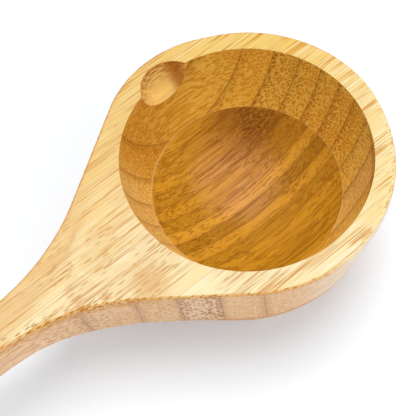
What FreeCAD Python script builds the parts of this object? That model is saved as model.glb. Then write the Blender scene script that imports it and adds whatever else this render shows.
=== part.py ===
import FreeCAD, Part
import math
import os

# Water ladle carved from a blank of glued bamboo strips: a round bowl that runs into a bar handle.
# X runs from the handle to the front of the bowl, Y to the side with the pouring notch, Z up.
# The origin is straight under the middle of the mouth, in the plane of the foot. Lengths are in mm.

# Bowl: the wall leans in from the mouth to a crease, and a dish lies below it
mouth_radius = 35.0
rim_width = 6.4
crease_share = 0.8  # of the mouth's radius
wall_bulge = 1.0
dish_depth = 11.1

# The two plies of the blank, and their strips, as wide as a share of the mouth's radius
upper_ply = 20.2
lower_ply = 15.5
upper_strips = 12
lower_strips = 18
upper_strip_share = 0.1943
lower_strip_share = 0.1171
lower_strip_offset = -0.6
grain_skew = 2.2  # degrees, from the axis of the ladle towards the notch

# Outside of the bowl: the side leans in from the rim to a ridge, the belly from there to the foot
side_depth = 21.2
side_inset = 2.4
ridge_shift = 2.8
belly_inset = 11.0
belly_bulge = 0.5

# How far the bowl's edge swells out beside the notch
swell_height = 1.1

# Neck and handle
handle_length = 146.0
neck_rise = 1.3  # the neck's underside lies this much above the ridge
handle_rise = 4.0  # and the handle's this much above the neck's
underside_gap = 7.0
underside_run = 30.0
waist_half_width = 5.6
side_lean = 0.6
tail_spread = 1.1  # degrees, how much each edge of the handle opens towards its end
neck_angle = 35.9  # degrees, between the axis and each side of the neck
neck_radius = 63.6

# Rounded edges: the top one is softer on the plain side of the bowl
top_edge_radius = 0.9
soft_edge_radius = 2.2
crisp_start = 105.0  # degrees from the front, away from the notch
soft_start = 70.0
soft_end = 30.0
crisp_end = 0.0
lower_edge_radius = 0.9
foot_edge_radius = 1.5

# Pouring notch: the bite of a ball centred level with the rim
notch_radius = 9.0
notch_inset = 4.6
notch_angle = 95.5  # degrees, from the front of the bowl

# Cuts and slabs reach this far past the blank
overrun = 5.0

# Edges this near to a level lie on it, and faces steeper than this many degrees are sides
same_place = 0.001
upright_limit = 30.0

outer_radius = mouth_radius + rim_width
crease_radius = crease_share * mouth_radius
ridge_radius = outer_radius - side_inset
foot_radius = ridge_radius - belly_inset
notch_centre = mouth_radius - notch_inset
height = upper_ply + lower_ply
neck_thickness = side_depth - neck_rise
handle_thickness = neck_thickness - handle_rise
underside_start = outer_radius + underside_gap
underside_end = underside_start + underside_run
full_length = handle_length + outer_radius
origin = FreeCAD.Vector(0, 0, 0)
up = FreeCAD.Vector(0, 0, 1)
side = FreeCAD.Vector(0, 1, 0)


def point(x, y, z=0):
    return FreeCAD.Vector(x, y, z)


def polar(radius, turn, centre=origin):
    return centre + point(radius * math.cos(turn), radius * math.sin(turn))


def line(a, b):
    return Part.LineSegment(a, b).toShape()


def arc(a, middle, b):
    return Part.Arc(a, middle, b).toShape()


def round_arc(centre, radius, start, end):
    middle = polar(radius, (start + end) / 2, centre)
    return arc(polar(radius, start, centre), middle, polar(radius, end, centre))


def bulged_arc(a, b, bulge, outward):
    """Arc from a to b whose middle stands off the chord by bulge, on the side of outward."""
    chord = b.sub(a)
    across = outward.sub(chord * (outward.dot(chord) / chord.dot(chord)))
    across.normalize()
    return arc(a, (a + b) * 0.5 + across * bulge, b)


def arm(bowl_radius, shift, inset, shoulder):
    """Neck side, handle side and half of the end, from a shoulder of the bowl on."""
    lean = math.radians(neck_angle)
    spread = math.radians(tail_spread)
    half_width = waist_half_width - inset
    length = handle_length - inset
    offset = bowl_radius + shift * math.sin(lean)
    waist = (offset + neck_radius - (half_width + neck_radius) * math.cos(lean)) / math.sin(lean)
    neck_centre = point(-waist, half_width + neck_radius)
    neck_start = polar(neck_radius, lean - math.pi / 2, neck_centre)
    neck_end = polar(neck_radius, -spread - math.pi / 2, neck_centre)
    reach = length + neck_end.x
    end_radius = math.cos(spread) * (neck_end.y + reach * math.tan(spread)) / (1 + math.sin(spread))
    end_centre = point(end_radius - length, 0)
    end_turn = math.pi / 2 - spread
    return [
        line(shoulder, neck_start),
        round_arc(neck_centre, neck_radius, lean - math.pi / 2, -spread - math.pi / 2),
        line(neck_end, polar(end_radius, end_turn, end_centre)),
        round_arc(end_centre, end_radius, end_turn, math.pi),
    ]


def outline(bowl_radius, shift, inset, z):
    """Closed outline of the ladle at one level. Beside the notch a smaller circle carries it."""
    bowl = point(-shift, 0)
    shoulder_turn = math.radians(90 + neck_angle)
    middle = math.radians(notch_angle)
    swell_half = shoulder_turn - middle
    swell_start = middle - swell_half
    swell_offset = swell_height / (1 - math.cos(swell_half))
    swell_radius = bowl_radius + swell_height - swell_offset
    swell = polar(swell_offset, middle, bowl)
    plain_shoulder = polar(bowl_radius, shoulder_turn, bowl)
    swell_shoulder = polar(swell_radius, shoulder_turn, swell)
    notch_side = [
        round_arc(bowl, bowl_radius, -math.radians(crisp_end), swell_start),
        line(polar(bowl_radius, swell_start, bowl), polar(swell_radius, swell_start, swell)),
        round_arc(swell, swell_radius, swell_start, shoulder_turn),
    ]
    notch_arm = arm(bowl_radius, shift, inset, swell_shoulder)
    plain_arm = arm(bowl_radius, shift, inset, plain_shoulder)
    mirrored = [edge.mirror(origin, side) for edge in reversed(plain_arm)]
    turns = [-math.radians(turn) for turn in (crisp_start, soft_start, soft_end, crisp_end)]
    turns.insert(0, -shoulder_turn)
    plain_side = [
        round_arc(bowl, bowl_radius, start, end) for start, end in zip(turns, turns[1:])
    ]
    wire = Part.Wire(notch_side + notch_arm + mirrored + plain_side)
    wire.translate(up * z)
    return wire


def blank():
    """The outline from top to bottom: leaning sides down to the ridge, upright below it."""
    rim = outline(outer_radius, 0, 0, height)
    ridge = outline(ridge_radius, ridge_shift, side_lean, height - side_depth)
    upper = Part.makeLoft([rim, ridge], True, True)
    lower = Part.Face(ridge).extrude(up * (side_depth - height))
    return upper, lower


def turned(profile, centre_x=0):
    """Solid of revolution about an upright axis from a closed profile in the XZ plane."""
    solid = Part.Face(Part.Wire(profile)).revolve(origin, up, 360)
    solid.translate(point(centre_x, 0))
    return solid


def underside_limit():
    """Turned body whose lower face is the foot, the belly, a small cove and the neck's underside."""
    foot = point(foot_radius, 0, 0)
    ridge = point(ridge_radius, 0, height - side_depth)
    chord = ridge.sub(foot)
    slope = math.atan2(chord.z, chord.x) + 2 * math.atan(2 * belly_bulge / chord.Length)
    neck_level = height - neck_thickness
    cove_radius = (side_depth - neck_thickness) / (1 - math.cos(slope))
    cove_centre = point(ridge_radius + cove_radius * math.sin(slope), 0, neck_level - cove_radius)
    cove_end = cove_centre + up * cove_radius
    cove_middle = cove_centre + point(-math.sin(slope / 2), 0, math.cos(slope / 2)) * cove_radius
    reach = full_length + overrun
    lid = height + overrun
    return turned([
        line(origin, foot),
        bulged_arc(foot, ridge, belly_bulge, point(1, 0, 0)),
        arc(ridge, cove_middle, cove_end),
        line(cove_end, point(reach, 0, neck_level)),
        line(point(reach, 0, neck_level), point(reach, 0, lid)),
        line(point(reach, 0, lid), up * lid),
        line(up * lid, origin),
    ], -ridge_shift)


def handle_relief():
    """What is taken off under the handle: the underside sweeps up from the neck in two arcs."""
    neck_level = height - neck_thickness
    handle_level = height - handle_thickness
    rise = handle_level - neck_level
    half_run = (underside_end - underside_start) / 2
    radius = (half_run**2 + (rise / 2)**2) / rise
    turn = math.asin(half_run / radius)
    half_turn = turn / 2
    start = point(-underside_start, 0, neck_level)
    middle = point(-underside_start - half_run, 0, neck_level + rise / 2)
    end = point(-underside_end, 0, handle_level)
    lower_middle = start + point(-math.sin(half_turn), 0, 1 - math.cos(half_turn)) * radius
    upper_middle = end + point(math.sin(half_turn), 0, math.cos(half_turn) - 1) * radius
    far = -full_length - overrun
    profile = Part.Wire([
        arc(start, lower_middle, middle),
        arc(middle, upper_middle, end),
        line(end, point(far, 0, handle_level)),
        line(point(far, 0, handle_level), point(far, 0, -overrun)),
        line(point(far, 0, -overrun), point(-underside_start, 0, -overrun)),
        line(point(-underside_start, 0, -overrun), start),
    ])
    relief = Part.Face(profile).extrude(side * (4 * outer_radius))
    relief.translate(side * (-2 * outer_radius))
    return relief


def bowl_cavity():
    rim = point(mouth_radius, 0, height)
    crease = point(crease_radius, 0, lower_ply)
    dish = up * (lower_ply - dish_depth)
    dish_radius = (crease_radius**2 + dish_depth**2) / (2 * dish_depth)
    half_turn = math.asin(crease_radius / dish_radius) / 2
    dish_middle = dish + point(math.sin(half_turn), 0, 1 - math.cos(half_turn)) * dish_radius
    lid = height + overrun
    return turned([
        line(up * lid, point(mouth_radius, 0, lid)),
        line(point(mouth_radius, 0, lid), rim),
        bulged_arc(rim, crease, wall_bulge, point(1, 0, 0)),
        arc(crease, dish_middle, dish),
        line(dish, up * lid),
    ])


def notch_ball():
    centre = polar(notch_centre, math.radians(notch_angle)) + up * height
    return Part.makeSphere(notch_radius, centre)


def at_level(edge, z):
    box = edge.BoundBox
    return abs(box.ZMin - z) < same_place and abs(box.ZMax - z) < same_place


def is_side(face):
    """True for a face that stands more upright than flat."""
    u_low, u_high, v_low, v_high = face.ParameterRange
    normal = face.normalAt((u_low + u_high) / 2, (v_low + v_high) / 2)
    return abs(normal.z) < math.sin(math.radians(upright_limit))


def lower_edges(body):
    """Edges between the ladle's sides and its underside, round the bowl, neck and handle."""
    found = []
    for edge in body.Edges:
        box = edge.BoundBox
        if box.ZMin < height - side_depth - same_place:
            continue
        if box.ZMax > height - handle_thickness + same_place:
            continue
        if [is_side(face) for face in body.ancestorsOfType(edge, Part.Face)].count(True) == 1:
            found.append(edge)
    return found


def top_radius(vertex):
    turn = math.degrees(math.atan2(-vertex.Y, vertex.X))
    if (soft_end + crisp_end) / 2 < turn < (soft_start + crisp_start) / 2:
        return soft_edge_radius
    return top_edge_radius


def rounded_top(body):
    """Rounds the outer edge of the top, with a radius that grows towards the front."""
    sheet = FreeCAD.newDocument()
    plain = sheet.addObject("Part::Feature", "plain")
    plain.Shape = body
    rounded = sheet.addObject("Part::Fillet", "rounded")
    rounded.Base = plain
    rounded.Edges = [
        (number, top_radius(edge.Vertexes[0]), top_radius(edge.Vertexes[-1]))
        for number, edge in enumerate(body.Edges, 1)
        if at_level(edge, height)
    ]
    sheet.recompute()
    return rounded.Shape


def whole_ladle():
    upper, lower = blank()
    body = upper.fuse(lower).common(underside_limit()).cut(handle_relief())
    body = body.makeFillet(lower_edge_radius, lower_edges(body))
    body = body.makeFillet(foot_edge_radius, [edge for edge in body.Edges if at_level(edge, 0)])
    return rounded_top(body).cut(bowl_cavity()).cut(notch_ball())


def grain_slab(low_y, high_y, low_z, high_z):
    """Slab along the grain, between two glue lines, over one ply."""
    size = (4 * full_length, high_y - low_y, high_z - low_z)
    slab = Part.makeBox(*size, point(-2 * full_length, low_y, low_z))
    slab.rotate(origin, up, grain_skew)
    return slab


def glue_lines(count, width, offset):
    """Glue lines across the grain. The strip at each edge takes what is left."""
    inner = [offset + width * (step - count / 2) for step in range(1, count)]
    return [-full_length] + inner + [full_length]


def strips(body, count, share, offset, low_z, high_z):
    """Solids of each strip of one ply, from the right of the ladle to its left."""
    lines = glue_lines(count, share * mouth_radius, offset)
    for low_y, high_y in zip(lines, lines[1:]):
        yield body.common(grain_slab(low_y, high_y, low_z, high_z)).Solids


def save(solids, name):
    Part.makeCompound(solids).exportStep(os.path.join("parts", name + ".step"))


def build():
    os.makedirs("parts", exist_ok=True)
    body = whole_ladle()
    lid = height + overrun
    upper = strips(body, upper_strips, upper_strip_share, 0, lower_ply, lid)
    for number, solids in enumerate(upper, 1):
        behind = [solid for solid in solids if solid.CenterOfMass.x < 0]
        ahead = [solid for solid in solids if solid.CenterOfMass.x >= 0]
        if behind and ahead:
            save(behind, "handle_strip_%02d" % number)
            save(ahead, "front_strip_%02d" % number)
        else:
            save(solids, "rim_strip_%02d" % number)
    offset = lower_strip_offset
    lower = strips(body, lower_strips, lower_strip_share, offset, -overrun, lower_ply)
    for number, solids in enumerate(lower, 1):
        save(solids, "bottom_strip_%02d" % number)


build()
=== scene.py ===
import math

import bmesh
import bpy
from mathutils import Matrix, Vector

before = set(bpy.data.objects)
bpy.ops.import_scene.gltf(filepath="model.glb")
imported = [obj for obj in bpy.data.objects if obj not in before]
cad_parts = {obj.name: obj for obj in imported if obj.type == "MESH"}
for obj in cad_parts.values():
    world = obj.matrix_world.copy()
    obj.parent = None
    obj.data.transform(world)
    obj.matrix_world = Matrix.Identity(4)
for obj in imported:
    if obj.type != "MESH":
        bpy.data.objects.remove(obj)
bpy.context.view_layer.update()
scene = bpy.context.scene
scene.view_settings.view_transform = "Standard"


def linear(red, green, blue):
    # sRGB from 0 to 255, as an eyedropper gives it, to the linear colour of a socket
    def channel(value):
        share = value / 255
        return share / 12.92 if share <= 0.04045 else ((share + 0.055) / 1.055) ** 2.4

    return (channel(red), channel(green), channel(blue), 1)


# the ladle's own sizes in mm, as the CAD has them
ladle = {
    "mouthRadius": 35.0,
    "rimLevel": 35.7,
    "plyLevel": 15.5,  # where the two plies meet
    "dishRadius": 28.0,
    "notchPlace": (-1.75, 30.35, 35.7),
    "notchRadius": 9.0,
    "neckCurve": (-0.00831, -1.4244, -63.218),  # its edge is at a * along ** 2 + b * along + c
    "neckSpan": (-110, -30),
}

cameraLook = {
    "lens": 77.52,
    "distance": 7.0,  # mouth radii, along the line of sight
    "aside": 0.336,  # how far the middle of the mouth is right of the line of sight
    "above": 0.4012,  # and above it
    "elevation": 63.489,
    "roll": 5.195,
    "turn": 33.06,  # from the ladle's axes to the camera's right and its way over the ground
}


def fromGround(right, away, up):
    # a direction seen from the camera's place on the ground, in the ladle's frame
    turn = math.radians(cameraLook["turn"])
    return Vector((
        right * math.cos(turn) + away * math.sin(turn),
        away * math.cos(turn) - right * math.sin(turn),
        up,
    ))


def addCamera(look):
    elevation = math.radians(look["elevation"])
    roll = math.radians(look["roll"])
    forward = fromGround(0, math.cos(elevation), -math.sin(elevation))
    right = fromGround(1, 0, 0)
    up = fromGround(0, math.sin(elevation), math.cos(elevation))
    place = -look["distance"] * forward - look["aside"] * right - look["above"] * up
    place = place * ladle["mouthRadius"] / 1000 + Vector((0, 0, ladle["rimLevel"] / 1000))
    rolledRight = right * math.cos(roll) - up * math.sin(roll)
    rolledUp = right * math.sin(roll) + up * math.cos(roll)
    camera = bpy.data.objects.new("camera", bpy.data.cameras.new("camera"))
    camera.data.lens = look["lens"]
    camera.data.clip_start = 0.01
    axes = Matrix((rolledRight, rolledUp, -forward)).transposed()
    camera.matrix_world = Matrix.Translation(place) @ axes.to_4x4()
    scene.collection.objects.link(camera)
    scene.camera = camera


# bearings in degrees from the right of the picture towards the back; the shares of both lamps
# and the sky's level light a level surface at 1
window = {"name": "window", "bearing": 75.0, "height": 72.0, "size": 42.0, "share": 0.45}
fill = {"name": "fill", "bearing": -40.0, "height": 25.0, "size": 80.0, "share": 0.11}
skyLevel = 1 - window["share"] - fill["share"]


def addLamp(look):
    bearing = math.radians(look["bearing"])
    height = math.radians(look["height"])
    level = math.cos(height)
    towards = fromGround(level * math.cos(bearing), level * math.sin(bearing), math.sin(height))
    lamp = bpy.data.objects.new(look["name"], bpy.data.lights.new(look["name"], "SUN"))
    lamp.data.energy = look["share"] * math.pi / math.sin(height)
    lamp.data.angle = math.radians(look["size"])
    lamp.rotation_euler = towards.to_track_quat("Z", "Y").to_euler()
    scene.collection.objects.link(lamp)


class Wire:
    # one output of a node, with arithmetic that adds Math nodes
    def __init__(self, board, socket):
        self.board = board
        self.socket = socket

    def maths(self, operation, *values):
        settings = {"operation": operation}
        return self.board.add("ShaderNodeMath", settings, dict(enumerate(values)))

    def __add__(self, other):
        return self.maths("ADD", self, other)

    def __radd__(self, other):
        return self.maths("ADD", other, self)

    def __sub__(self, other):
        return self.maths("SUBTRACT", self, other)

    def __rsub__(self, other):
        return self.maths("SUBTRACT", other, self)

    def __mul__(self, other):
        return self.maths("MULTIPLY", self, other)

    def __rmul__(self, other):
        return self.maths("MULTIPLY", other, self)

    def __truediv__(self, other):
        return self.maths("DIVIDE", self, other)

    def __pow__(self, other):
        return self.maths("POWER", self, other)

    def __abs__(self):
        return self.maths("ABSOLUTE", self)

    def floor(self):
        return self.maths("FLOOR", self)

    def least(self, other):
        return self.maths("MINIMUM", self, other)

    def most(self, other):
        return self.maths("MAXIMUM", self, other)

    def rise(self, span, first=0.0, last=1.0):
        # first below the span and last above it, with a smooth step between
        settings = {"interpolation_type": "SMOOTHSTEP"}
        inputs = {0: self, 1: span[0], 2: span[1], 3: first, 4: last}
        return self.board.add("ShaderNodeMapRange", settings, inputs)

    def fall(self, span, first=1.0, last=0.0):
        return self.rise(span, first, last)

    def under(self, share, colour):
        # this colour, with a share of another one over it
        return self.board.blend(share, self, colour)


class Board:
    # the nodes of one material, or of the sky
    def __init__(self, owner):
        owner.use_nodes = True
        self.owner = owner
        self.tree = owner.node_tree
        self.tree.nodes.clear()

    def add(self, kind, settings, inputs, output=0):
        node = self.tree.nodes.new(kind)
        for key, value in settings.items():
            if key == "stops":
                ramp = node.color_ramp
                ramp.interpolation = "CONSTANT"
                while len(ramp.elements) < len(value):
                    ramp.elements.new(1)
                for element, (place, colour) in zip(ramp.elements, value):
                    element.position = place
                    element.color = colour
            else:
                setattr(node, key, value)
        for key, value in inputs.items():
            if isinstance(value, Wire):
                self.tree.links.new(value.socket, node.inputs[key])
            else:
                node.inputs[key].default_value = value
        return Wire(self, node.outputs[output]) if node.outputs else node

    def blend(self, share, first, second, how="MIX"):
        settings = {"data_type": "RGBA", "blend_type": how}
        return self.add("ShaderNodeMix", settings, {0: share, 6: first, 7: second}, 2)

    def vector(self, x, y, z):
        return self.add("ShaderNodeCombineXYZ", {}, {0: x, 1: y, 2: z})

    def parts(self, vector):
        split = self.add("ShaderNodeSeparateXYZ", {}, {0: vector})
        outputs = split.socket.node.outputs
        return [Wire(self, outputs[number]) for number in range(3)]

    def noise(self, vector, detail=2.0, roughness=0.5):
        inputs = {"Vector": vector, "Scale": 1.0, "Detail": detail, "Roughness": roughness}
        return self.add("ShaderNodeTexNoise", {}, inputs)

    def cells(self, vector, randomness=1.0):
        inputs = {"Vector": vector, "Scale": 1.0, "Randomness": randomness}
        return self.add("ShaderNodeTexVoronoi", {}, inputs)

    def finish(self, surface, output="ShaderNodeOutputMaterial"):
        self.add(output, {}, {"Surface": surface})
        return self.owner


floorLook = {
    "size": 6.0,
    "seen": (1, 1, 1, 1),
    "bounce": (0.9, 0.9, 0.9, 1),
    "shadowLift": (0.05, 0.11, 0.165, 1),  # thins the shadow and cools it
}


def seenDirectly(board):
    # 1 for what the camera, a reflection or a look through glass sees
    paths = board.add("ShaderNodeLightPath", {}, {}).socket.node.outputs
    seen = Wire(board, paths["Is Camera Ray"]).most(Wire(board, paths["Is Glossy Ray"]))
    return seen.most(Wire(board, paths["Is Transmission Ray"]))


def addFloor(look):
    sheet = bmesh.new()
    bmesh.ops.create_grid(sheet, x_segments=1, y_segments=1, size=look["size"] / 2)
    mesh = bpy.data.meshes.new("floor")
    sheet.to_mesh(mesh)
    sheet.free()
    floor = bpy.data.objects.new("floor", mesh)
    scene.collection.objects.link(floor)
    board = Board(bpy.data.materials.new("floorWhite"))
    seen = seenDirectly(board)
    mesh.materials.append(board.finish(board.add("ShaderNodeBsdfPrincipled", {}, {
        "Base Color": board.blend(seen, look["bounce"], look["seen"]),
        "Roughness": 1.0,
        "Specular IOR Level": 0.0,
        "Emission Color": board.blend(seen, (0, 0, 0, 1), look["shadowLift"]),
        "Emission Strength": 1.0,
    })))


def addSky(level):
    board = Board(bpy.data.worlds.new("sky"))
    strength = level + (1 - level) * seenDirectly(board)
    inputs = {"Color": (1, 1, 1, 1), "Strength": strength}
    background = board.add("ShaderNodeBackground", {}, inputs)
    scene.world = board.finish(background, "ShaderNodeOutputWorld")


addCamera(cameraLook)
addLamp(window)
addLamp(fill)
addFloor(floorLook)
addSky(skyLevel)
print("camera, lamps, floor and sky are in place")


# sizes in mm, in threes: along the grain, across it and up
grain = {
    "skew": 2.2,  # degrees, from the axis of the ladle
    "stripShift": (53.7, 7.3, 2.9),  # gives each strip fibres of its own
    "fine": (20.0, 0.42, 0.6),
    "fineSpan": (0.55, 0.6),
    "paleSpan": (0.38, 0.47),
    "bold": (26.0, 1.15, 1.5),
    "boldSpan": (0.55, 0.6),
    "bundle": (24.0, 0.72, 0.72),
    "bundleDisorder": 0.7,
    "bend": (4.0, 2.0, 2.0),
    "bendSize": 1.3,  # in bundles
    "dotSpan": (0.3, 0.56),
    "pipSpan": (0.46, 0.66),
    "slow": (18.0, 2.4, 2.4),
    "patch": (9.0, 3.2, 3.2),
    "speck": (1 / 1.1, 1 / 2.2, 1 / 2.2),
    "dash": (4.2, 0.8, 0.8),
    "dashSpan": (0.2, 0.36),
    "dashPatch": 0.5,
    "tooth": (2.4, 0.62, 0.62),
    "toothSpan": (0.3, 0.48),
    "glueWander": (10.0, 1 / 0.7, 2.5),
    "glueWanderSize": 0.15,
    "glueSpan": (0.04, 0.2),
    "softGlueSpan": (0.0, 1.3),
    "bump": 0.0001,  # metres
    "bumpStrength": 0.25,
    "specular": 0.18,
}


def cellVector(board, place, size):
    return board.vector(*[value / length for value, length in zip(place, size)])


def splitStrips(board, ply):
    # the number of the strip that a point is in, and how far it is from the glue
    count = ply["stripCount"]
    steps = (board.across - ply["glueOffset"]) / ply["stripWidth"] + count / 2
    steps = steps.most(0.5).least(count - 0.5)
    strip = steps.floor()
    board.stripShare = (strip + 0.5) / count
    board.inside = steps - strip
    place = (board.along, board.across, board.level)
    wander = board.noise(cellVector(board, place, grain["glueWander"])) - 0.5
    offGlue = board.inside.least(1 - board.inside) * ply["stripWidth"]
    offGlue = offGlue + wander * grain["glueWanderSize"]
    board.glue = offGlue.fall(grain["glueSpan"])
    board.softGlue = offGlue.fall(grain["softGlueSpan"])
    return strip


def addFibres(board, strip):
    place = (board.along, board.across, board.level)
    own = [value + strip * shift for value, shift in zip(place, grain["stripShift"])]
    bend = board.noise(cellVector(board, own, grain["bend"])) * grain["bendSize"]
    run, aside, rank = [value / length for value, length in zip(own, grain["bundle"])]
    bundle = board.cells(board.vector(run, aside + bend, rank - bend), grain["bundleDisorder"])
    board.dots = bundle.fall(grain["dotSpan"])
    board.pips = bundle.rise(grain["pipSpan"])
    fine = board.noise(cellVector(board, own, grain["fine"]), roughness=0.6)
    bold = board.noise(cellVector(board, own, grain["bold"]), detail=1.0)
    board.lines = fine.rise(grain["fineSpan"])
    board.boldLines = bold.rise(grain["boldSpan"])
    board.pale = fine.fall(grain["paleSpan"])
    board.slow = board.noise(cellVector(board, own, grain["slow"]), detail=1.0)
    board.patch = board.noise(cellVector(board, own, grain["patch"]), detail=1.0)
    board.speck = board.noise(cellVector(board, own, grain["speck"]), roughness=0.7)
    dash = board.cells(cellVector(board, own, grain["dash"]))
    dash = dash + (board.patch - 0.5) * grain["dashPatch"]
    board.dashes = dash.fall(grain["dashSpan"])
    board.teeth = board.cells(cellVector(board, own, grain["tooth"])).fall(grain["toothSpan"])


def grainBoard(name, ply):
    # the coordinates that both plies share, the strips and the fibres in them
    board = Board(bpy.data.materials.new(name))
    turned = board.add("ShaderNodeMapping", {}, {
        "Vector": board.add("ShaderNodeTexCoord", {}, {}, 3),  # Object
        "Rotation": (0, 0, -math.radians(grain["skew"])),
        "Scale": (1000, 1000, 1000),
    })
    board.along, board.across, board.level = board.parts(turned)
    board.radial = (board.along * board.along + board.across * board.across) ** 0.5
    board.normalUp = board.parts(board.add("ShaderNodeNewGeometry", {}, {}, 1))[2]
    addFibres(board, splitStrips(board, ply))
    return board


def neckEdge(board):
    # where the near edge of the neck and the handle is, across the grain
    curve = ladle["neckCurve"]
    back = board.along.most(ladle["neckSpan"][0]).least(ladle["neckSpan"][1])
    return back * back * curve[0] + back * curve[1] + curve[2]


def byStrip(board, values):
    # one number or colour for each strip
    stops = []
    for number, value in enumerate(values):
        colour = linear(*value) if isinstance(value, tuple) else (value, value, value, 1)
        stops.append((number / len(values), colour))
    return board.add("ShaderNodeValToRGB", {"stops": stops}, {0: board.stripShare})


def shaded(board, colour, shade):
    return board.blend(1.0, colour, shade, "MULTIPLY")


def near(board, place, reach, share=1.0):
    # the share at a place of the ladle, and 0 from its reach on
    offAlong = board.along - place[0]
    offAcross = board.across - place[1]
    return (offAlong * offAlong + offAcross * offAcross).fall((0, reach * reach), share)


def finishPly(board, ply, colour):
    height = 0 - board.dots * ply["dotDepth"] - board.lines * ply["lineDepth"]
    height = height - board.glue * ply["glueDepth"]
    bump = board.add("ShaderNodeBump", {}, {
        "Strength": grain["bumpStrength"],
        "Distance": grain["bump"],
        "Height": height,
    })
    return board.finish(board.add("ShaderNodeBsdfPrincipled", {}, {
        "Base Color": colour,
        "Roughness": ply["roughness"] + board.dots * ply["dotRoughness"],
        "Normal": bump,
        "Specular IOR Level": grain["specular"],
    }))


topPly = {
    "stripWidth": 6.8,
    "stripCount": 12,
    "glueOffset": 0.0,
    "roughness": 0.5,
    "dotRoughness": 0.12,
    "dotDepth": 0.4,
    "lineDepth": 0.3,
    "glueDepth": 1.0,
    "uprightSpan": (0.35, 0.8),  # how far the normal points up
}

# In the looks, lists have a value for each strip, from the near side to the far one. A span is
# where something starts and is full, in mm along the grain, across it or up, from the middle of
# the bowl. A share says how much of a colour is laid over the others.

# the top: pale, with fibres along it, golden round the front, and a knuckle in each strip
topFaceLook = {
    "strips": [
        (254, 231, 172), (255, 236, 182), (255, 240, 188), (254, 232, 174),
        (254, 234, 180), (253, 230, 176), (252, 224, 162), (250, 217, 150),
        (247, 210, 138), (244, 206, 128), (243, 204, 124), (242, 203, 122),
    ],
    "gold": linear(246, 205, 102),
    "goldAlong": (-14, 30),
    "goldAcross": (-10, 15),
    "goldShares": (0.42, 0.72),  # near and far
    "pale": linear(255, 246, 212),
    "paleAcross": (-5, 20),
    "paleShares": (0.75, 0.35),  # near and far
    "line": linear(214, 150, 80),
    "frontLine": linear(220, 144, 42),
    "frontAlong": (-10, 26),
    "fineSpan": (0.4, 0.58),
    "fineShare": 0.85,
    "boldSpan": (0.45, 0.58),
    "boldShares": (0.4, 0.7),  # at the handle and at the front
    "glueShare": 0.3,
    "tan": linear(232, 180, 116),
    "tanShare": 0.22,
    "knuckles": [0.30, 0.34, 0.27, 0.44, 0.37, 0.38, 0.46, 0.33, 0.29, 0.25, 0.2, 0.2],
    "knuckleUnit": 100,  # how many mm back a knuckle of 1 would be
    "knuckleReach": (1, 7),
    "knuckleSpan": (0.35, 0.6),
    "markPlaces": [  # along and across
        (-52.3, -8.4), (-36.5, -9.6), (-45.4, 5.9), (-37.9, -5.5), (-58.4, -2.5),
        (-59.8, 5.7), (-46.7, -7.9), (-44.9, -12.7), (-50.6, 1.1),
    ],
    "markReach": 5.5,
    "markSpan": (0.1, 0.6),
    "tanPlace": (-43.4, -12.5),
    "tanReach": 6.5,
    "tanPlaceShare": 0.6,
    "farAlong": (-52, -36),
    "farWidth": (1, 5),
    "farShare": 0.7,
    "farPatch": (0.4, 0.6),
    "farTanShares": (0.35, 0.75),
    "dash": linear(208, 144, 76),
    "dashShare": 0.62,
    "teethAlong": (-62, -42),
    "teethWidth": (0.3, 3.6),
    "teethShare": 0.9,
}


def topFace(board, look, tooth):
    along, across, patchy = board.along, board.across, board.patch
    nearEdge = neckEdge(board)
    golden = along.rise(look["goldAlong"]) * across.rise(look["goldAcross"], *look["goldShares"])
    colour = byStrip(board, look["strips"]).under(golden, look["gold"])
    pale = board.pale * across.rise(look["paleAcross"], *look["paleShares"])
    colour = colour.under(pale, look["pale"])
    line = board.blend(along.rise(look["frontAlong"]), look["line"], look["frontLine"])
    fine = board.slow.rise(look["fineSpan"], 0, look["fineShare"])
    colour = colour.under(board.lines * fine, line)
    bold = along.rise(look["frontAlong"], *look["boldShares"]) * board.slow.rise(look["boldSpan"])
    colour = colour.under(board.boldLines * bold, line)

    back = byStrip(board, look["knuckles"]) * look["knuckleUnit"]
    marks = abs(along + back).fall(look["knuckleReach"]) * patchy.rise(look["knuckleSpan"])
    for place in look["markPlaces"]:
        marks = marks.most(near(board, place, look["markReach"]).rise(look["markSpan"]))
    colour = colour.under(marks * look["tanShare"], look["tan"])
    tanned = near(board, look["tanPlace"], look["tanReach"], look["tanPlaceShare"])
    colour = colour.under(tanned, look["tan"])
    farEdge = (0 - across - nearEdge).fall(look["farWidth"])
    farEdge = farEdge * along.fall(look["farAlong"], look["farShare"])
    farTan = farEdge * patchy.rise(look["farPatch"], *look["farTanShares"])
    colour = colour.under(farTan, look["tan"])
    colour = colour.under(board.dashes * marks.most(farEdge) * look["dashShare"], look["dash"])
    rows = (across - nearEdge).fall(look["teethWidth"]) * along.fall(look["teethAlong"])
    colour = colour.under(board.teeth * rows * look["teethShare"], tooth)
    return colour.under(board.glue * look["glueShare"], line)


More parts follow.
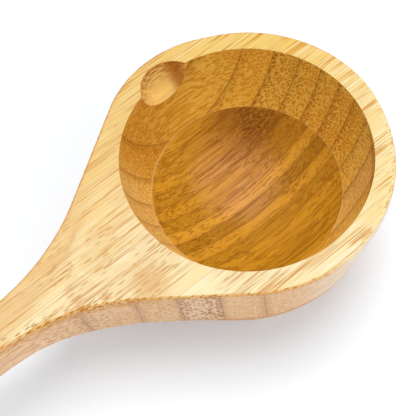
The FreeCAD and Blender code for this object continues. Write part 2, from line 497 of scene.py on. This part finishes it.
# the inside of the bowl and the pouring notch, cut across the grain
wallLook = {
    "base": linear(255, 192, 64),
    "shades": [1.0, 1.0, 1.0, 1.0, 1.0, 1.0, 1.0, 1.0, 0.96, 1.0, 0.93, 0.95],
    "backAlong": (-14, 10),  # the handle's side is smoother
    # painted shade: the far part of the wall on the handle's side, turned away from the window,
    # darker
    "shade": linear(176, 92, 24),
    "shadeAcross": (12, 26),
    "shadeShare": 0.42,
    # pale: the colour of the paler strips, and also painted light on the handle's side of the wall
    "pale": linear(248, 212, 150),
    "pales": [0.2, 0.25, 0.45, 0.15, 0.0, 0.0, 0.0, 0.0, 0.0, 0.0, 0.0, 0.0],
    "paleAlong": (0, 12),
    # painted light: the wall on the handle's side, short of its far part, paler where it faces the
    # light
    "backLightAlong": (-32, -14),
    "backLightAcross": (14, 28),
    "backLightShare": 0.5,
    "dot": linear(156, 88, 10),
    "dots": [0.4, 0.42, 0.46, 0.66, 0.7, 0.7, 0.7, 0.72, 0.75, 0.5, 0.5, 0.45],
    "backDots": 0.5,  # how much of the dots is left there
    "crowdSpan": (0.3, 1.0),  # across one strip
    "crowdShares": (0.55, 1.0),
    "pip": linear(255, 227, 114),
    "pipShare": 0.95,
    "speckSpan": (0.42, 0.66),
    "speckShare": 0.18,
    "lineAlong": (-8, 4),
    "lineShare": 0.35,
    "glueShare": 0.4,
    "stripEnd": (0.72, 1.0),
    "stripEndShare": 0.35,
    # painted highlight: a pale line along the wall just above where the plies meet
    "crease": linear(250, 212, 150),
    "creaseHeight": 0.35,
    "creaseShare": 0.5,
    "lipLevels": (31.5, 34),
    "lipAcross": (-22, -12),
    "lipAlong": (0, 12),
    "lipShare": 0.45,
    "notch": linear(255, 214, 132),
    "notchShare": 0.6,
    "brimLevels": (28.5, 34.5),
    "brimShare": 0.75,
    # painted shade: the notch darker on its side towards the front, where its wall faces away from
    # the light
    "notchShade": linear(176, 98, 0),
    "valleyStart": (0, 3.8),
    "valleyEnd": (4.6, 6.4),
    "valleyRest": 0.15,  # what is left past its end
    "valleyShare": 0.78,
}


def bowlWall(board, look, notch):
    along, across, level, inside = board.along, board.across, board.level, board.inside
    colour = shaded(board, look["base"], byStrip(board, look["shades"]))
    # painted shade on the far part of the wall at the handle's side
    shade = along.fall(look["backAlong"], look["shadeShare"]) * across.rise(look["shadeAcross"])
    colour = colour.under(shade, look["shade"])
    pales = byStrip(board, look["pales"]) * along.rise(look["paleAlong"])
    colour = colour.under(pales, look["pale"])
    # painted light on the wall at the handle's side, short of its far part
    paintedBackLight = along.fall(look["backLightAlong"]) * across.fall(look["backLightAcross"])
    colour = colour.under(paintedBackLight * look["backLightShare"], look["pale"])

    strength = byStrip(board, look["dots"]) * along.rise(look["backAlong"], look["backDots"])
    colour = colour.under(board.pips * strength * look["pipShare"], look["pip"])
    crowd = inside.rise(look["crowdSpan"], *look["crowdShares"])
    colour = colour.under(board.dots * strength * crowd, look["dot"])
    colour = colour.under(board.speck.rise(look["speckSpan"], 0, look["speckShare"]), look["dot"])
    lines = board.lines * along.fall(look["lineAlong"], look["lineShare"])
    colour = colour.under(lines, look["dot"])
    glue = board.glue * look["glueShare"] + inside.rise(look["stripEnd"], 0, look["stripEndShare"])
    colour = colour.under(glue, look["dot"])
    # painted highlight along the wall just above the ply seam
    creaseSpan = (ladle["plyLevel"], ladle["plyLevel"] + look["creaseHeight"])
    colour = colour.under(level.fall(creaseSpan, look["creaseShare"]), look["crease"])
    lip = level.rise(look["lipLevels"]) * across.fall(look["lipAcross"], look["lipShare"])
    colour = colour.under(lip * along.rise(look["lipAlong"]), look["dot"])

    colour = colour.under(notch * look["notchShare"], look["notch"])
    brim = level.rise(look["brimLevels"], 0, look["brimShare"]) * board.dots
    colour = colour.under(notch * brim, look["dot"])
    # painted shade in the notch, from its middle to its wall towards the front
    notchShade = along.rise(look["valleyStart"]) * along.fall(look["valleyEnd"], 1, look["valleyRest"])
    return colour.under(notch * notchShade * look["valleyShare"], look["notchShade"])


# the outside of the bowl and of the handle
sideLook = {
    "base": linear(250, 204, 152),
    "shades": [1.0, 1.02, 0.96, 0.98, 0.98, 1.02, 1.0, 1.0, 1.0, 1.0, 1.0, 1.0],
    # the pale colour of the pips, and painted light: the side paler towards the front, where it
    # faces the light, and a little at the handle's end
    "pipsAndPaintedLight": linear(255, 243, 224),
    "frontSpan": (-22, 8),
    "frontShare": 0.9,
    "handleSpan": (-60, -50),
    "handleShare": 0.15,
    "gold": linear(250, 206, 116),
    "goldSpan": (10, 32),
    "goldShare": 0.75,
    "pipShare": 0.4,
    "dot": linear(160, 104, 74),
    "dots": [0.25, 0.3, 1.0, 0.4, 0.4, 0.3, 0.4, 0.4, 0.4, 0.4, 0.4, 0.4],
    "dotShare": 0.8,
    "speckSpan": (0.4, 0.7),
    "speckShare": 0.2,
    "glueShare": 0.2,
    "softGlueShare": 0.25,
    "streak": linear(208, 146, 92),
    "streakSpan": (-62, -46),
    "streakShare": 0.8,
    # painted shading: a darker reddish line along the bottom edge of the side, near the bowl
    "foot": linear(216, 146, 116),
    "footLevels": (15.8, 17.6),
    "footSpan": (-48, -40),
    "footShare": 0.6,
}


def outerSide(board, look):
    along = board.along
    colour = shaded(board, look["base"], byStrip(board, look["shades"]))
    # painted light on the side, towards the front and at the handle's end
    front = along.rise(look["frontSpan"], 0, look["frontShare"])
    handle = along.fall(look["handleSpan"], look["handleShare"])
    colour = colour.under(front.most(handle), look["pipsAndPaintedLight"])
    colour = colour.under(along.rise(look["goldSpan"], 0, look["goldShare"]), look["gold"])
    strength = byStrip(board, look["dots"])
    colour = colour.under(board.pips * strength * look["pipShare"], look["pipsAndPaintedLight"])
    colour = colour.under(board.dots * strength * look["dotShare"], look["dot"])
    colour = colour.under(board.speck.rise(look["speckSpan"], 0, look["speckShare"]), look["dot"])
    streaks = along.fall(look["streakSpan"], look["streakShare"]) * board.lines
    colour = colour.under(streaks, look["streak"])
    glue = board.glue * look["glueShare"] + board.softGlue * look["softGlueShare"]
    colour = colour.under(glue, look["dot"])
    # painted shading along the bottom edge of the side
    foot = board.level.fall(look["footLevels"]) * along.rise(look["footSpan"])
    return colour.under(foot * look["footShare"], look["foot"])


# the golden, toothed line along the crisp part of the top edge, and below it on the handle
edgeLook = {
    "gold": linear(232, 162, 46),
    "tooth": linear(198, 124, 12),
    "normalStart": (0.08, 0.4),
    "normalEnd": (0.9, 0.985),
    "softAlong": (-14, 2),
    "softAcross": (0, 8),
    "handleSpan": (-52, -40),
    "handleLevels": (31.0, 34.0),
    "goldShare": 0.55,
    "handleGold": 0.2,  # how much less gold there is below the edge
    "toothShare": 0.9,
}


def topEdge(board, look, upright, colour):
    along, normalUp = board.along, board.normalUp
    edge = normalUp.rise(look["normalStart"]) * normalUp.fall(look["normalEnd"])
    crisp = 1 - along.rise(look["softAlong"]) * board.across.fall(look["softAcross"])
    below = board.level.rise(look["handleLevels"]) * upright * along.fall(look["handleSpan"])
    toothed = edge.most(below) * crisp
    colour = colour.under(toothed * (look["goldShare"] - below * look["handleGold"]), look["gold"])
    return colour.under(toothed * board.teeth * look["toothShare"], look["tooth"])


def topPlyBamboo(name, ply):
    board = grainBoard(name, ply)
    mouth, rim, notchRadius = ladle["mouthRadius"], ladle["rimLevel"], ladle["notchRadius"]
    hollow = board.radial.fall((mouth, mouth + 0.1)) * board.level.fall((rim - 0.08, rim))
    offNotch = board.add("ShaderNodeVectorMath", {"operation": "DISTANCE"}, {
        0: board.vector(board.along, board.across, board.level),
        1: ladle["notchPlace"],
    }, 1)
    notch = offNotch.fall((notchRadius + 0.02, notchRadius + 0.1))
    upright = board.normalUp.fall(ply["uprightSpan"])
    top = topFace(board, topFaceLook, edgeLook["tooth"])
    colour = top.under(upright, outerSide(board, sideLook))
    colour = topEdge(board, edgeLook, upright, colour)
    colour = colour.under(hollow.most(notch), bowlWall(board, wallLook, notch))
    return finishPly(board, ply, colour)


lowPly = {
    "stripWidth": 4.1,
    "stripCount": 18,
    "glueOffset": -0.6,
    "roughness": 0.52,
    "dotRoughness": 0.12,
    "dotDepth": 0.3,
    "lineDepth": 0.3,
    "glueDepth": 0.6,
    "shades": [  # the strips' own, which show on the dish and underneath
        1.0, 0.95, 1.04, 0.92, 1.0, 1.05, 0.86, 1.1, 0.72,
        1.22, 0.86, 1.0, 0.84, 1.02, 0.9, 1.02, 0.94, 1.0,
    ],
    "upSpan": (0.05, 0.2),  # how far the normal points up, from the underside to the dish
}

# the dish at the foot of the bowl
dishLook = {
    "base": linear(212, 152, 26),
    "yellow": linear(228, 172, 62),
    "yellows": [
        0.1, 0.0, 0.1, 0.0, 0.0, 0.1, 0.0, 0.3, 0.0,
        0.5, 0.0, 0.1, 0.0, 0.1, 0.0, 0.1, 0.0, 0.0,
    ],
    # painted sheen: a pale reflection on the middle of the dish
    "sheen": linear(238, 178, 120),
    "sheenPlace": (3, 8),
    "sheenReach": 17,
    "sheenShare": 0.55,
    "sheenLines": 0.6,
    "sheenSpan": (0.3, 0.6),
    "sheenLeast": 0.6,
    "pale": linear(228, 170, 84),
    "paleShare": 0.35,
    "line": linear(142, 80, 0),
    "lineSpan": (0.3, 0.65),
    "lineShare": 0.6,
    "boldShare": 0.4,
    "speckSpan": (0.35, 0.7),
    "speckShare": 0.14,
    "glueShare": 0.25,
    "softGlueShare": 0.2,
    # painted shade: the far part of the dish, under the far wall, darker
    "farShadePlace": (17, 19),
    "farShadeReach": 17,
    "farShare": 0.5,
    "dark": linear(120, 62, 4),
    "darkPlace": (19, 17),
    "darkReach": 9,
    "darkShare": 0.75,
    # painted highlight: a pale line round the edge of the dish on the handle's side
    "crease": linear(245, 205, 140),
    "creaseWidth": 0.6,
    "creaseAlong": (-22, 5),
    "creaseShare": 0.5,
}

# the underside
bellyLook = {
    "base": linear(236, 190, 134),
    "line": linear(170, 116, 66),
    "dotShare": 0.4,
    "lineShare": 0.3,
    "glueShare": 0.5,
}


def dishFace(board, look, shade):
    colour = shaded(board, look["base"], shade)
    colour = colour.under(byStrip(board, look["yellows"]), look["yellow"])
    # painted sheen: a pale reflection in the middle of the dish, broken by the grain
    sheen = near(board, look["sheenPlace"], look["sheenReach"], look["sheenShare"])
    sheen = sheen * (1 - board.lines * look["sheenLines"])
    sheen = sheen * board.slow.rise(look["sheenSpan"], look["sheenLeast"])
    colour = colour.under(sheen, look["sheen"])
    colour = colour.under(board.pale * look["paleShare"], look["pale"])
    lines = board.lines * board.slow.rise(look["lineSpan"], 0, look["lineShare"])
    colour = colour.under(lines, look["line"])
    colour = colour.under(board.boldLines * look["boldShare"], look["line"])
    colour = colour.under(board.speck.rise(look["speckSpan"], 0, look["speckShare"]), look["line"])
    glue = board.glue * look["glueShare"] + board.softGlue * look["softGlueShare"]
    colour = colour.under(glue, look["line"])
    # painted shade where the far wall shades the dish
    far = near(board, look["farShadePlace"], look["farShadeReach"], look["farShare"])
    colour = colour.under(far, look["line"])
    dark = near(board, look["darkPlace"], look["darkReach"], look["darkShare"])
    colour = colour.under(dark * board.dots.most(board.lines), look["dark"])
    # painted highlight round the dish's edge on the handle's side
    creaseSpan = (ladle["dishRadius"] - look["creaseWidth"], ladle["dishRadius"])
    crease = board.radial.rise(creaseSpan) * board.along.fall(look["creaseAlong"])
    return colour.under(crease * look["creaseShare"], look["crease"])


def bellyFace(board, look, shade):
    colour = shaded(board, look["base"], shade)
    colour = colour.under(board.dots * look["dotShare"], look["line"])
    colour = colour.under(board.lines * look["lineShare"], look["line"])
    return colour.under(board.glue * look["glueShare"], look["line"])


def lowPlyBamboo(name, ply):
    board = grainBoard(name, ply)
    shade = byStrip(board, ply["shades"])
    belly = bellyFace(board, bellyLook, shade)
    dish = dishFace(board, dishLook, shade)
    return finishPly(board, ply, belly.under(board.normalUp.rise(ply["upSpan"]), dish))


topBamboo = topPlyBamboo("topBamboo", topPly)
lowBamboo = lowPlyBamboo("lowBamboo", lowPly)
for name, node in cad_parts.items():
    node.data.materials.clear()
    node.data.materials.append(lowBamboo if name.startswith("bottom") else topBamboo)
print("bamboo on", len(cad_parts), "strips")
